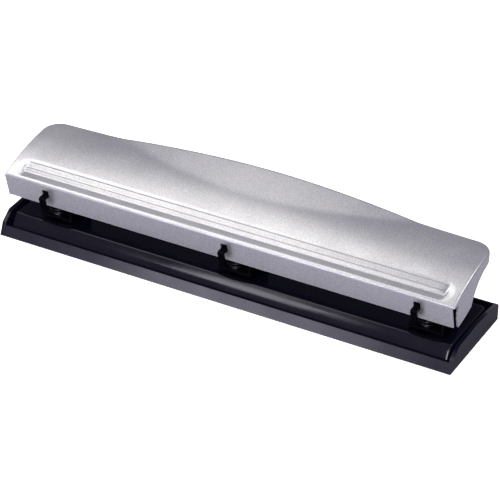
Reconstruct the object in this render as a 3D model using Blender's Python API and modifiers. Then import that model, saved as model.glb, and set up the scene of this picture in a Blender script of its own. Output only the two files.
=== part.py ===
"""Three hole paper punch.

A pressed steel lever cover hinges on the tongues of three punching heads. Each head is a
bracket riveted to the base frame with a die plate under it, a punch pin, a return spring and a
retaining clip. A moulded tray with rubber feet forms the bottom and catches the chips.

Units in this file are millimetres, turned into metres when a shape is made.
x runs along the length from its middle, y runs back from the base's front bottom edge, and
z runs up from the table. The origin is under the middle of the whole punch.
"""

import math

import bmesh
import bpy
from mathutils import Matrix, Vector

MM = 0.001
HALF_DEPTH = 29.25  # the origin is this far behind the front bottom edge
GAP = 0.3  # running and seating clearance between neighbours
HOLE_SPACING = 107.95  # centre to centre, 4.25 in
HEADS = {"left": -1, "centre": 0, "right": 1}
MERGE = 0.00001  # metres, welds the seams of a shape
LAP = 0.5  # how far one joined shape sinks into the next
DRILL = 4.0  # length of a drill that goes right through a sheet or plate
SHARP_ANGLE = math.radians(35)

# Chip tray
TRAY_HALF = 132.4
TRAY_WALL = 2.2
TRAY_BACK_Y = 56.3
TRAY_BACK_TOP_Z = 9.2
TRAY_HOLLOW_FRONT_Y = 1.9
TRAY_BOTTOM_Z = 0.5
TRAY_FLOOR_Z = (1.2, 2.4)
TRAY_RIM = ((2.4, 5.8), (3.8, 5.8))  # outer and inner edge of the front wall's top
TRAY_REAR_TOP_Z = 9.6
TRAY_REAR_INNER_Y = 54.5
TRAY_END_TOP = ((2.8, 7.2), (9.4, 12.0), (31.4, 12.8), (55.6, 9.9))
TRAY_RIB_X = 60.0
TRAY_RIB_HALF = 0.8
TRAY_RIB_Y = (12.0, 46.0)
TRAY_RIB_TOP_Z = 9.7
TRAY_AXIS = (52.0, 7.4)  # y, z of the tray's hinge
TRAY_HOLE_BOTTOM_X = 131.8  # the hinge holes in the end walls are blind
BEYOND_Y = (-2.0, 60.0)  # in front of and behind everything
ABOVE_Z = 20.0  # above the tray
BELOW_Z = -1.0

FOOT_X = 115.0
FOOT_Y = (9.5, 47.0)
FOOT_RADIUS = 6.0
FOOT_HEIGHT = 0.9
FOOT_CHAMFER = 0.3

HINGE_PIN_RADIUS = 0.9
HINGE_HOLE_RADIUS = 1.2
HINGE_PIN_X = (126.7, 131.4)
HINGE_HEAD = (1.7, 0.8)  # radius, thickness
HINGE_CHAMFER = 0.2

# Base frame
FRAME_HALF = 128.8
FRAME_SHEET = 1.0
FRAME_PATH = ((5.2, 5.0), (10.1, 11.1), (50.0, 11.1), (50.0, 4.5))
EAR_THICK = 1.0
EAR_RADIUS = 2.1
EAR_FRONT_Y = 46.5
EAR_Z = (6.2, 10.6)
EAR_ARC = (-100, 60)  # degrees, the rounded end round the hinge hole
EAR_BACK_Y = 49.8  # where the ear's top edge meets the rear flange

# Punching head, x relative to the punch pin
PIN_X = 5.0  # the middle pin, from the middle of the base
PIN_Y = 14.0
PIN_RADIUS = 3.5
PIN_HOLE_RADIUS = 3.8
PIN_TIP_Z = 14.9
PIN_TIP_HOLLOW = 1.0
PIN_DOME_RADIUS = 4.5
PIN_DOME_CENTRE_Z = 31.54
PIN_FLANGE_RADIUS = 3.9
PIN_FLANGE_Z = 33.4
CLIP_GROOVE_RADIUS = 2.7
CLIP_GROOVE_Z = (27.2, 28.4)
CLIP_RADII = (3.0, 4.6)
CLIP_MOUTH_HALF = 1.6
CLIP_MOUTH_Y = (1.0, 6.0)  # behind the pin's middle

PAPER_EDGE_TO_HOLE = 12.7
HEAD_X = (-9.0, 10.4)
DIE_Z = (11.4, 12.7)
DIE_NOSE_Y = 8.4
DIE_CORNER_Y = 9.6
STRIPPER_Y = 9.8
STRIPPER_Z = (14.6, 16.0)
TOP_PLATE_Y = 9.6
TOP_PLATE_Z = (28.4, 30.0)
WEB_THICK = 1.6
WEB_Y = (PIN_Y + PAPER_EDGE_TO_HOLE, PIN_Y + PAPER_EDGE_TO_HOLE + WEB_THICK)
FOOT_PLATE_BACK_Y = 40.0
FOOT_PLATE_Z = (13.0, 14.5)
CHEEK_THICK = 1.4
STEP = 0.1  # small step where two faces of one bracket meet, so that they never share a plane
CHEEK_LEFT_FRONT_Y = 18.0
TONGUE_X = (-4.5, -1.2)
TONGUE_SECTION = (
    (11.0, 28.5),
    (11.0, 29.9),
    (3.1, 29.9),
    (2.3, 29.6),
    (2.0, 28.8),
    (3.9, 21.5),
    (4.3, 21.1),
    (5.1, 21.1),
    (5.5, 21.5),
    (3.7, 28.5),
)
RIVET_X = (-4.3, 5.7)
RIVET_Y = 34.0
RIVET_RADIUS = 1.4
RIVET_HOLE_RADIUS = 1.7
RIVET_HEAD = ((0.0, 1.2), (1.3, 1.0), (2.2, 0.55), (2.6, 0.0))  # radius, height above the seat
RIVET_TAIL_RADIUS = 2.3
RIVET_TAIL_HEIGHT = 1.0

SPRING_WIRE_RADIUS = 0.55
SPRING_COIL_RADIUS = 4.3
SPRING_TURNS = 5.75
SPRING_POINTS_PER_TURN = 12

# Lever cover
COVER_HALF = 130.6
COVER_SHEET = 1.0
COVER_FRONT = (4.8, 36.4)  # y, z of the front top edge
SKIRT_BOTTOM = (8.1, 22.4)
DOME_RISE = 0.42
DOME_CURL = 0.0047
REAR_EDGE_Y = 52.0
PRESS_BULGE = 6.5
PRESS_BULGE_WIDTH = 75.0
CREASE_Y = 35.7
CREASE_SWEEP = 0.0023
PRESS_FACET_SLOPE = 0.19
REAR_CORNER_RADIUS = 13.0
REAR_LIP = 4.3
BEAD_SECTION = (  # y, height above the dome: a sloping pocket, then two ribs
    (7.6, 0.0),
    (9.5, -0.6),
    (11.4, -1.2),
    (13.2, -0.2),
    (14.4, -0.5),
    (16.4, 0.2),
    (18.2, 0.0),
)
BEAD_END_X = (121.0, 124.5)
CORNER_SEAM = 1.3
GRID_X = (0.0, 14.0, 28.0, 42.0, 56.0, 70.0, 84.0, 98.0, 110.0)
GRID_LAST_X = 127.4  # between the beads' ends and the corner seam
GRID_MIDDLE_Y = (22.0, 25.9, 27.2)  # behind the beads and at the shoulder
GRID_REAR_STEPS = 6
END_WALL_FOOT_Z = 21.6  # lowest point of the end wall
END_WALL_LOW_Y = 6.0
END_WALL_CURVE = 0.0105
END_WALL_FRONT_Y = (9.7, 18.0)  # the foot leans back behind the skirt up to the second value
END_WALL_LEAN = 0.7
SIDE_SHOULDER_Y = 26.0  # the end wall is deep in front of this and only a lip behind it
SHOULDER_DROP = 11.9
SHOULDER_FADE = 0.128
COVER_AXIS = (7.2, 28.0)  # y, z of the cover's hinge on the tongues
SLOT_X = (-4.8, -0.9)  # relative to the pin
SLOT_Z = (28.0, 32.8)
SLOT_CUT_Y = (2.0, 9.4)

BAR_HALF = 120.0
BAR_WIDTH = 8.0
BAR_THICK = 1.2
BAR_Y = 16.5
BAR_DROP = 2.7  # bar's middle below the outside of the dome

BLACK_PAINT = ((0.012, 0.012, 0.016), 0.22, 0.0)
BLACK_STEEL = ((0.03, 0.03, 0.034), 0.3, 0.6)
SILVER_PAINT = ((0.62, 0.62, 0.65), 0.38, 0.7)
ZINC_STEEL = ((0.55, 0.55, 0.56), 0.35, 1.0)
HARD_STEEL = ((0.6, 0.6, 0.62), 0.18, 1.0)
SPRING_STEEL = ((0.42, 0.42, 0.44), 0.3, 1.0)
BLACK_PLASTIC = ((0.01, 0.01, 0.013), 0.15, 0.0)
RUBBER = ((0.02, 0.02, 0.02), 0.85, 0.0)


def place(x, y, z):
    """A point in metres in the object's frame, from millimetres behind the front edge."""
    return Vector((x, y - HALF_DEPTH, z)) * MM


def clear_scene():
    for obj in list(bpy.data.objects):
        bpy.data.objects.remove(obj, do_unlink=True)


def new_collection(name):
    collection = bpy.data.collections.new(name)
    bpy.context.scene.collection.children.link(collection)
    return collection


def make_material(name, finish):
    colour, roughness, metallic = finish
    mat = bpy.data.materials.new(name)
    mat.use_nodes = True
    shader = mat.node_tree.nodes["Principled BSDF"]
    shader.inputs["Base Color"].default_value = (*colour, 1.0)
    shader.inputs["Roughness"].default_value = roughness
    shader.inputs["Metallic"].default_value = metallic
    mat.diffuse_color = (*colour, 1.0)
    return mat


def add_part(name, mesh, finish, body, smooth=False):
    """Links a mesh as a named part of the punch under its body."""
    obj = bpy.data.objects.new(name, mesh)
    PARTS.objects.link(obj)
    if smooth:
        mesh.shade_smooth()
        mesh.set_sharp_from_angle(angle=SHARP_ANGLE)
    if not mesh.materials:
        mesh.materials.append(make_material(mesh.name, finish))
    attach(obj, body)
    return obj


def attach(obj, body):
    obj.parent = body
    obj.matrix_parent_inverse = Matrix.Translation(body.location).inverted()


def add_body(name, location):
    """An empty on the joint axis of a moving group."""
    empty = bpy.data.objects.new(name, None)
    empty.empty_display_size = 5 * MM
    empty.location = location
    PARTS.objects.link(empty)
    return empty


def add_cutter(name, mesh):
    obj = bpy.data.objects.new(name, mesh)
    CUTTERS.objects.link(obj)
    obj.hide_render = True
    obj.display_type = "WIRE"
    return obj


def mesh_of(bm, name):
    mesh = bpy.data.meshes.new(name)
    bm.to_mesh(mesh)
    bm.free()
    return mesh


def box_mesh(name, xs, ys, zs):
    """A box between pairs of x, y and z values."""
    low = place(xs[0], ys[0], zs[0])
    high = place(xs[1], ys[1], zs[1])
    bm = bmesh.new()
    bmesh.ops.create_cube(bm, size=1.0)
    bmesh.ops.scale(bm, vec=high - low, verts=bm.verts)
    bmesh.ops.translate(bm, vec=(low + high) / 2, verts=bm.verts)
    return mesh_of(bm, name)


def rods_mesh(name, centres, radius, length=DRILL, segments=24, along_x=False):
    """One closed cylinder at each centre, upright or along x."""
    bm = bmesh.new()
    turn = Matrix.Rotation(math.pi / 2, 4, "Y") if along_x else Matrix.Identity(4)
    for centre in centres:
        bmesh.ops.create_cone(
            bm,
            cap_ends=True,
            segments=segments,
            radius1=radius * MM,
            radius2=radius * MM,
            depth=length * MM,
            matrix=Matrix.Translation(place(*centre)) @ turn,
        )
    return mesh_of(bm, name)


def outline_mesh(name, points, half_thick, matrix):
    """A flat outline in millimetres, thickened both ways and moved by matrix, as a closed mesh."""
    curve = bpy.data.curves.new(name, "CURVE")
    curve.dimensions = "2D"
    curve.fill_mode = "BOTH"
    curve.extrude = half_thick * MM
    spline = curve.splines.new("POLY")
    spline.points.add(len(points) - 1)
    spline.use_cyclic_u = True
    for point, (u, v) in zip(spline.points, points):
        point.co = (u * MM, v * MM, 0.0, 1.0)
    obj = bpy.data.objects.new(name, curve)
    CUTTERS.objects.link(obj)
    mesh = evaluated_mesh(obj)
    bpy.data.objects.remove(obj)
    bm = bmesh.new()
    bm.from_mesh(mesh)
    bmesh.ops.remove_doubles(bm, verts=bm.verts, dist=MERGE)
    bmesh.ops.transform(bm, matrix=matrix, verts=bm.verts)
    bmesh.ops.recalc_face_normals(bm, faces=bm.faces)
    bm.to_mesh(mesh)
    bm.free()
    return mesh


def side_outline(name, points, xs):
    """A y-z outline that runs along x between two values."""
    middle = place(sum(xs) / 2, 0, 0)
    turn = Matrix.Rotation(math.pi / 2, 4, "Z") @ Matrix.Rotation(math.pi / 2, 4, "X")
    return outline_mesh(name, points, (xs[1] - xs[0]) / 2, Matrix.Translation(middle) @ turn)


def plan_outline(name, points, zs):
    """An x-y outline that stands between two heights."""
    middle = place(0, 0, sum(zs) / 2)
    return outline_mesh(name, points, (zs[1] - zs[0]) / 2, Matrix.Translation(middle))


def evaluated_mesh(obj):
    """The object's mesh with its modifiers applied."""
    bpy.context.view_layer.update()
    graph = bpy.context.evaluated_depsgraph_get()
    return bpy.data.meshes.new_from_object(obj.evaluated_get(graph))


def combine(obj, operation, cutter):
    """Adds an exact Boolean of obj with cutter."""
    modifier = obj.modifiers.new(operation.lower(), "BOOLEAN")
    modifier.operation = operation
    modifier.object = cutter
    modifier.solver = "EXACT"


def build_solid(name, base, unions, cuts):
    """One mesh: base with every union mesh joined to it and every cut mesh taken away."""
    work = add_cutter(name + "_blank", base)
    for index, mesh in enumerate(unions):
        combine(work, "UNION", add_cutter(f"{name}_join_{index}", mesh))
    for index, mesh in enumerate(cuts):
        combine(work, "DIFFERENCE", add_cutter(f"{name}_cut_{index}", mesh))
    solid = evaluated_mesh(work)
    solid.name = name
    return solid


def thicken(obj, thickness):
    """Gives an open sheet its thickness, inwards."""
    solidify = obj.modifiers.new("sheet", "SOLIDIFY")
    solidify.thickness = thickness * MM
    solidify.offset = -1.0
    solidify.use_even_offset = True


def turned_mesh(name, profile, closed, steps):
    """A profile of (radius, height) points, top to bottom, turned about the z axis."""
    mesh = bpy.data.meshes.new(name)
    verts = [(r * MM, 0.0, z * MM) for r, z in profile]
    edges = [(i, i + 1) for i in range(len(verts) - 1)]
    if closed:
        edges.append((len(verts) - 1, 0))
    mesh.from_pydata(verts, edges, [])
    work = add_cutter(name + "_profile", mesh)
    screw = work.modifiers.new("turn", "SCREW")
    screw.axis = "Z"
    screw.steps = steps
    screw.render_steps = steps
    screw.use_merge_vertices = True
    screw.merge_threshold = MERGE
    solid = evaluated_mesh(work)
    solid.name = name
    bm = bmesh.new()
    bm.from_mesh(solid)
    bmesh.ops.recalc_face_normals(bm, faces=bm.faces)
    bm.to_mesh(solid)
    bm.free()
    return solid


def arc(centre, radius, start, stop, count):
    """Points on an arc, angles in degrees."""
    points = []
    for step in range(count + 1):
        angle = math.radians(start + (stop - start) * step / count)
        points.append((centre[0] + radius * math.cos(angle), centre[1] + radius * math.sin(angle)))
    return points


def head_x(side):
    """The x of a head's punch pin."""
    return PIN_X + HEADS[side] * HOLE_SPACING


# Lever cover surface


def dome_height(y):
    behind = y - COVER_FRONT[0]
    return COVER_FRONT[1] + DOME_RISE * behind - DOME_CURL * behind * behind


def cover_height(x, y):
    """The dome, flattened behind the crease into the facet that the hand presses."""
    crease = CREASE_Y + CREASE_SWEEP * x * x
    if y <= crease:
        return dome_height(y)
    return dome_height(crease) + PRESS_FACET_SLOPE * (y - crease)


def rear_edge(x):
    """The cover's rear edge in plan, bulged at the middle and rounded at the corners."""
    edge = REAR_EDGE_Y + PRESS_BULGE * math.exp(-((x / PRESS_BULGE_WIDTH) ** 2))
    past = x - (COVER_HALF - REAR_CORNER_RADIUS)
    if past > 0:
        edge -= REAR_CORNER_RADIUS - math.sqrt(max(REAR_CORNER_RADIUS**2 - past**2, 0.0))
    return edge


def cover_columns(x):
    """The y of each grid line at one x: the beads' lines, then even steps to the rear edge."""
    fixed = [COVER_FRONT[0], COVER_FRONT[0] + CORNER_SEAM]
    fixed += [y for y, _ in BEAD_SECTION]
    fixed += GRID_MIDDLE_Y
    last = fixed[-1]
    step = (rear_edge(x) - last) / GRID_REAR_STEPS
    return fixed + [last + step * count for count in range(1, GRID_REAR_STEPS + 1)]


def cover_rows():
    """The x of each grid line of the +x half."""
    rows = [*GRID_X, COVER_HALF - REAR_CORNER_RADIUS, *BEAD_END_X, GRID_LAST_X]
    return rows + [COVER_HALF - CORNER_SEAM, COVER_HALF]


def bead_height(x, y):
    """How far the pressed beads stand out of the dome."""
    if x > BEAD_END_X[0]:
        return 0.0
    for bead_y, height in BEAD_SECTION:
        if bead_y == y:
            return height
    return 0.0


def wall_foot(x, y):
    """The bottom of the end wall or rear lip under a point of the cover's edge."""
    if y > SIDE_SHOULDER_Y:
        fade = SHOULDER_DROP * math.exp(-SHOULDER_FADE * (y - SIDE_SHOULDER_Y))
        return y, cover_height(x, y) - REAR_LIP - fade
    foot_y = y
    if y < END_WALL_FRONT_Y[1]:
        foot_y = END_WALL_FRONT_Y[0] + END_WALL_LEAN * (y - COVER_FRONT[0] - CORNER_SEAM)
    return foot_y, END_WALL_FOOT_Z + END_WALL_CURVE * (foot_y - END_WALL_LOW_Y) ** 2


def cover_sheet():
    """The +x half of the cover's outer surface, open at x = 0."""
    rows = cover_rows()
    columns = [cover_columns(x) for x in rows]
    bm = bmesh.new()
    bmesh.ops.create_grid(bm, x_segments=len(rows) - 1, y_segments=len(columns[0]) - 1, size=1.0)
    where = {}
    for vert in bm.verts:
        row = round((vert.co.x + 1) / 2 * (len(rows) - 1))
        column = round((vert.co.y + 1) / 2 * (len(columns[0]) - 1))
        x = rows[row]
        y = columns[row][column]
        vert.co = place(x, y, cover_height(x, y) + bead_height(x, y))
        where[vert] = (row, column, x, y)
    last_row = len(rows) - 1
    last_column = len(columns[0]) - 1

    def on_skirt(edge):
        return all(where[v][1] == 0 and where[v][0] < last_row for v in edge.verts)

    def on_wall(edge):
        side = all(where[v][0] == last_row and where[v][1] > 0 for v in edge.verts)
        return side or all(where[v][1] == last_column for v in edge.verts)

    border = [edge for edge in bm.edges if edge.is_boundary]
    for chosen, is_skirt in (
        ([e for e in border if on_skirt(e)], True),
        ([e for e in border if on_wall(e)], False),
    ):
        tops = {tuple(round(c, 7) for c in v.co): where[v] for e in chosen for v in e.verts}
        made = bmesh.ops.extrude_edge_only(bm, edges=chosen)["geom"]
        for vert in (g for g in made if isinstance(g, bmesh.types.BMVert)):
            _, _, x, y = tops[tuple(round(c, 7) for c in vert.co)]
            foot = SKIRT_BOTTOM if is_skirt else wall_foot(x, y)
            vert.co = place(x, *foot)
    bmesh.ops.recalc_face_normals(bm, faces=bm.faces)
    top = max(bm.faces, key=lambda face: face.calc_center_median().z)
    if top.normal.z < 0:
        bmesh.ops.reverse_faces(bm, faces=bm.faces)
    return mesh_of(bm, "cover_sheet")


# Pieces


def build_chip_tray(body):
    outside = [(0.0, TRAY_BOTTOM_Z), TRAY_RIM[0], *TRAY_END_TOP]
    outside += [(TRAY_BACK_Y, TRAY_BACK_TOP_Z), (TRAY_BACK_Y, TRAY_BOTTOM_Z)]
    inner = TRAY_HALF - TRAY_WALL
    hollow = [
        (TRAY_HOLLOW_FRONT_Y, TRAY_FLOOR_Z[1]),
        TRAY_RIM[1],
        (BEYOND_Y[0], TRAY_RIM[1][1]),
        (BEYOND_Y[0], ABOVE_Z),
        (BEYOND_Y[1], ABOVE_Z),
        (BEYOND_Y[1], TRAY_REAR_TOP_Z),
        (TRAY_REAR_INNER_Y, TRAY_REAR_TOP_Z),
        (TRAY_REAR_INNER_Y, TRAY_FLOOR_Z[1]),
    ]
    ribs = []
    for x in (-TRAY_RIB_X, TRAY_RIB_X):
        sides = (x - TRAY_RIB_HALF, x + TRAY_RIB_HALF)
        ribs.append(box_mesh("tray_rib", sides, TRAY_RIB_Y, (TRAY_FLOOR_Z[0] + LAP, TRAY_RIB_TOP_Z)))
    under_y = (TRAY_HOLLOW_FRONT_Y, TRAY_REAR_INNER_Y)
    shell = build_solid(
        "tray_shell",
        side_outline("tray_outside", outside, (-TRAY_HALF, TRAY_HALF)),
        [],
        [
            side_outline("tray_hollow", hollow, (-inner, inner)),
            box_mesh("tray_recess", (-inner, inner), under_y, (BELOW_Z, TRAY_FLOOR_Z[0])),
        ],
    )
    hole_x = TRAY_HOLE_BOTTOM_X - DRILL / 2
    centres = [(-hole_x, *TRAY_AXIS), (hole_x, *TRAY_AXIS)]
    holes = rods_mesh("tray_holes", centres, HINGE_HOLE_RADIUS, segments=16, along_x=True)
    add_part("chip_tray", build_solid("chip_tray", shell, ribs, [holes]), BLACK_PLASTIC, body)


def build_feet(body):
    profile = [
        (0.0, FOOT_HEIGHT),
        (FOOT_RADIUS, FOOT_HEIGHT),
        (FOOT_RADIUS, FOOT_CHAMFER),
        (FOOT_RADIUS - FOOT_CHAMFER, 0.0),
        (0.0, 0.0),
    ]
    disc = turned_mesh("foot", profile, False, 20)
    for end, x in (("left", -FOOT_X), ("right", FOOT_X)):
        for row, y in zip(("front", "rear"), FOOT_Y):
            foot = add_part(f"foot_{row}_{end}", disc, RUBBER, body)
            foot.location = place(x, y, 0.0)


def build_base_frame(body):
    bm = bmesh.new()
    spine = [bm.verts.new(place(-FRAME_HALF, y, z)) for y, z in FRAME_PATH]
    edges = [bm.edges.new(pair) for pair in zip(spine, spine[1:])]
    made = bmesh.ops.extrude_edge_only(bm, edges=edges)["geom"]
    moved = [g for g in made if isinstance(g, bmesh.types.BMVert)]
    bmesh.ops.translate(bm, vec=(2 * FRAME_HALF * MM, 0, 0), verts=moved)
    bmesh.ops.recalc_face_normals(bm, faces=bm.faces)
    if max(bm.faces, key=lambda face: face.calc_area()).normal.z < 0:
        bmesh.ops.reverse_faces(bm, faces=bm.faces)
    sheet = add_cutter("frame_sheet", mesh_of(bm, "frame_sheet"))
    thicken(sheet, FRAME_SHEET)
    ear = [(EAR_FRONT_Y, EAR_Z[1]), (EAR_FRONT_Y, EAR_Z[0])]
    ear += arc(TRAY_AXIS, EAR_RADIUS, *EAR_ARC, 8) + [(EAR_BACK_Y, EAR_Z[1])]
    ears = []
    for x in (-FRAME_HALF + STEP, FRAME_HALF - EAR_THICK - STEP):
        ears.append(side_outline("ear", ear, (x, x + EAR_THICK)))
    deck_z = FRAME_PATH[1][1] - FRAME_SHEET / 2
    chips = [(head_x(side), PIN_Y, deck_z) for side in HEADS]
    chip_holes = rods_mesh("chip_holes", chips, PIN_HOLE_RADIUS)
    rivets = [(head_x(side) + x, RIVET_Y, deck_z) for side in HEADS for x in RIVET_X]
    rivet_holes = rods_mesh("frame_rivet_holes", rivets, RIVET_HOLE_RADIUS, segments=16)
    ear_x = FRAME_HALF - EAR_THICK / 2
    hinges = [(-ear_x, *TRAY_AXIS), (ear_x, *TRAY_AXIS)]
    hinge_holes = rods_mesh("ear_holes", hinges, HINGE_HOLE_RADIUS, segments=16, along_x=True)
    solid = build_solid("base_frame", evaluated_mesh(sheet), ears, [chip_holes, rivet_holes, hinge_holes])
    add_part("base_frame", solid, BLACK_PAINT, body)


def build_hinge_pins(body):
    head_radius, head_thick = HINGE_HEAD
    length = HINGE_PIN_X[1] - HINGE_PIN_X[0]
    profile = [
        (0.0, length),
        (HINGE_PIN_RADIUS - HINGE_CHAMFER, length),
        (HINGE_PIN_RADIUS, length - HINGE_CHAMFER),
        (HINGE_PIN_RADIUS, head_thick),
        (head_radius, head_thick),
        (head_radius, 0.0),
        (0.0, 0.0),
    ]
    pin = turned_mesh("tray_hinge_pin", profile, False, 16)
    for end, side in (("left", -1), ("right", 1)):
        obj = add_part(f"tray_hinge_pin_{end}", pin, BLACK_STEEL, body)
        obj.location = place(side * HINGE_PIN_X[0], *TRAY_AXIS)
        obj.rotation_euler = (0.0, side * math.pi / 2, 0.0)


def bracket_mesh():
    """One bracket with its punch pin on x = 0."""
    section = [
        (TOP_PLATE_Y, TOP_PLATE_Z[1]),
        (TOP_PLATE_Y, TOP_PLATE_Z[0]),
        (WEB_Y[0], TOP_PLATE_Z[0]),
        (WEB_Y[0], FOOT_PLATE_Z[0]),
        (FOOT_PLATE_BACK_Y, FOOT_PLATE_Z[0]),
        (FOOT_PLATE_BACK_Y, FOOT_PLATE_Z[1]),
        (WEB_Y[1], FOOT_PLATE_Z[1]),
        (WEB_Y[1], TOP_PLATE_Z[1]),
    ]
    inside_web = WEB_Y[0] + WEB_THICK / 2
    cheek_z = (STRIPPER_Z[0] + STEP, TOP_PLATE_Z[1] - LAP)
    left_cheek = (HEAD_X[0] + STEP, HEAD_X[0] + CHEEK_THICK)
    right_cheek = (HEAD_X[1] - CHEEK_THICK, HEAD_X[1] - STEP)
    stripper_x = (HEAD_X[0] + 2 * STEP, HEAD_X[1] - 2 * STEP)
    joins = [
        box_mesh("stripper", stripper_x, (STRIPPER_Y, inside_web), STRIPPER_Z),
        box_mesh("left_cheek", left_cheek, (CHEEK_LEFT_FRONT_Y, inside_web + STEP), cheek_z),
        box_mesh("right_cheek", right_cheek, (STRIPPER_Y + STEP, inside_web + STEP), cheek_z),
        side_outline("tongue", TONGUE_SECTION, TONGUE_X),
    ]
    guide_z = (STRIPPER_Z[0] + TOP_PLATE_Z[1]) / 2
    guide_length = TOP_PLATE_Z[1] - STRIPPER_Z[0] + DRILL
    rivets = [(x, RIVET_Y, sum(FOOT_PLATE_Z) / 2) for x in RIVET_X]
    cuts = [
        rods_mesh("guide_hole", [(0.0, PIN_Y, guide_z)], PIN_HOLE_RADIUS, guide_length),
        rods_mesh("foot_holes", rivets, RIVET_HOLE_RADIUS, segments=16),
    ]
    return build_solid("punch_bracket", side_outline("bracket_section", section, HEAD_X), joins, cuts)


def die_mesh():
    """One die plate with its hole on x = 0 and a shallow curved nose."""
    middle = sum(HEAD_X) / 2
    half = (HEAD_X[1] - HEAD_X[0]) / 2
    rise = DIE_CORNER_Y - DIE_NOSE_Y
    radius = (half * half + rise * rise) / (2 * rise)
    spread = math.degrees(math.asin(half / radius))
    nose = arc((middle, DIE_NOSE_Y + radius), radius, 270 - spread, 270 + spread, 10)
    outline = nose + [(HEAD_X[1], FOOT_PLATE_BACK_Y), (HEAD_X[0], FOOT_PLATE_BACK_Y)]
    plate_z = sum(DIE_Z) / 2
    rivets = [(x, RIVET_Y, plate_z) for x in RIVET_X]
    cuts = [
        rods_mesh("die_hole", [(0.0, PIN_Y, plate_z)], PIN_HOLE_RADIUS),
        rods_mesh("die_rivet_holes", rivets, RIVET_HOLE_RADIUS, segments=16),
    ]
    return build_solid("die_plate", plan_outline("die_outline", outline, DIE_Z), [], cuts)


def pin_mesh():
    """A punch pin: domed head, flange, clip groove and hollow-ground tip."""
    dome = []
    limit = math.degrees(math.acos(PIN_FLANGE_RADIUS / PIN_DOME_RADIUS))
    for r, z in arc((0.0, PIN_DOME_CENTRE_Z), PIN_DOME_RADIUS, 90, limit, 5):
        dome.append((max(r, 0.0), z))
    dome[0] = (0.0, PIN_DOME_CENTRE_Z + PIN_DOME_RADIUS)
    profile = dome + [
        (PIN_FLANGE_RADIUS, PIN_FLANGE_Z),
        (PIN_RADIUS, PIN_FLANGE_Z),
        (PIN_RADIUS, CLIP_GROOVE_Z[1]),
        (CLIP_GROOVE_RADIUS, CLIP_GROOVE_Z[1]),
        (CLIP_GROOVE_RADIUS, CLIP_GROOVE_Z[0]),
        (PIN_RADIUS, CLIP_GROOVE_Z[0]),
        (PIN_RADIUS, PIN_TIP_Z),
        (0.0, PIN_TIP_Z + PIN_TIP_HOLLOW),
    ]
    return turned_mesh("punch_pin", profile, False, 24)


def clip_mesh():
    """A ring with a gap, for the pin's groove, centred on the origin."""
    low = CLIP_GROOVE_Z[0] + GAP
    high = CLIP_GROOVE_Z[1] - GAP
    inner, outer = CLIP_RADII
    ring = turned_mesh("clip_ring", [(inner, high), (outer, high), (outer, low), (inner, low)], True, 20)
    mouth_x = (-CLIP_MOUTH_HALF, CLIP_MOUTH_HALF)
    mouth_y = (HALF_DEPTH + CLIP_MOUTH_Y[0], HALF_DEPTH + CLIP_MOUTH_Y[1])
    mouth = box_mesh("clip_mouth", mouth_x, mouth_y, (low - LAP, high + LAP))
    return build_solid("retaining_clip", ring, [], [mouth])


def spring_mesh():
    """The return spring, free ends up against the stripper plate and the clip."""
    low = STRIPPER_Z[1] + GAP + SPRING_WIRE_RADIUS
    high = CLIP_GROOVE_Z[0] - SPRING_WIRE_RADIUS
    count = round(SPRING_TURNS * SPRING_POINTS_PER_TURN) + 1
    curve = bpy.data.curves.new("return_spring", "CURVE")
    curve.dimensions = "3D"
    curve.bevel_depth = SPRING_WIRE_RADIUS * MM
    curve.bevel_resolution = 1
    curve.use_fill_caps = True
    spline = curve.splines.new("POLY")
    spline.points.add(count - 1)
    for index, point in enumerate(spline.points):
        share = index / (count - 1)
        angle = 2 * math.pi * SPRING_TURNS * share
        x = SPRING_COIL_RADIUS * math.cos(angle)
        y = SPRING_COIL_RADIUS * math.sin(angle)
        point.co = (x * MM, y * MM, (low + (high - low) * share) * MM, 1.0)
    obj = bpy.data.objects.new("spring_wire", curve)
    CUTTERS.objects.link(obj)
    mesh = evaluated_mesh(obj)
    bpy.data.objects.remove(obj)
    bm = bmesh.new()
    bm.from_mesh(mesh)
    bmesh.ops.remove_doubles(bm, verts=bm.verts, dist=MERGE)
    bmesh.ops.recalc_face_normals(bm, faces=bm.faces)
    bm.to_mesh(mesh)
    bm.free()
    return mesh


def rivet_mesh():
    """A rivet with a round head above the bracket's foot and a tail under the frame."""
    seat = FOOT_PLATE_Z[1] + GAP
    tail = FRAME_PATH[1][1] - FRAME_SHEET - GAP
    profile = [(radius, seat + height) for radius, height in RIVET_HEAD]
    profile += [
        (RIVET_RADIUS, seat),
        (RIVET_RADIUS, tail),
        (RIVET_TAIL_RADIUS, tail),
        (RIVET_TAIL_RADIUS, tail - RIVET_TAIL_HEIGHT),
        (0.0, tail - RIVET_TAIL_HEIGHT),
    ]
    return turned_mesh("rivet", profile, False, 14)


def build_heads(base, punches):
    bracket = bracket_mesh()
    die = die_mesh()
    pin = pin_mesh()
    clip = clip_mesh()
    spring = spring_mesh()
    rivet = rivet_mesh()
    for side in HEADS:
        shift = Vector((head_x(side) * MM, 0.0, 0.0))
        pin_axis = place(head_x(side), PIN_Y, 0.0)
        add_part(f"punch_bracket_{side}", bracket, BLACK_STEEL, base).location = shift
        add_part(f"die_plate_{side}", die, BLACK_STEEL, base).location = shift
        add_part(f"punch_pin_{side}", pin, HARD_STEEL, punches[side], smooth=True).location = pin_axis
        add_part(f"retaining_clip_{side}", clip, SPRING_STEEL, punches[side]).location = pin_axis
        add_part(f"return_spring_{side}", spring, SPRING_STEEL, base, smooth=True).location = pin_axis
        for number, x in enumerate(RIVET_X, start=1):
            place_at = place(head_x(side) + x, RIVET_Y, 0.0)
            add_part(f"rivet_{side}_{number}", rivet, ZINC_STEEL, base, smooth=True).location = place_at


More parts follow.
